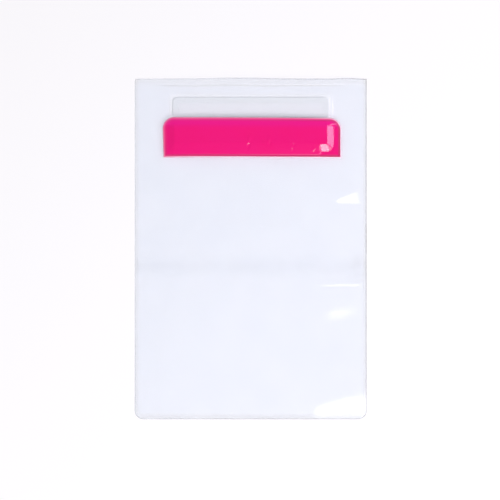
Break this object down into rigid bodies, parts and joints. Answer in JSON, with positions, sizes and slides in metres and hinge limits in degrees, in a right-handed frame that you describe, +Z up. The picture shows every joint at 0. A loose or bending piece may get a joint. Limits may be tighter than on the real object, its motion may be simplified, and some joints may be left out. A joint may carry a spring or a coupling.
{
  "type": "waterproof tablet pouch",
  "caption": "Empty clear film pouch for a tablet, welded on three sides, with a pink flap that grips the folded mouth by hook-and-loop strips.",
  "frame": {"origin": "on the table, under the middle of the pouch, which lies on its back", "axes": "+Z up out of the front sheet, +Y along the pouch towards its mouth, +X to the right seen from the front"},
  "size_m": [0.21, 0.3084, 0.0112],
  "materials": {
    "clear_film": "gloss",
    "pink_flap": "gloss",
    "pale_strip": "matte"
  },
  "bodies": {
    "root": {"rear_sheet": "clear_film", "front_sheet": "clear_film", "closure_flap": "pink_flap", "hook_strip": "pale_strip", "loop_strip": "pale_strip"}
  },
  "joints": []
}
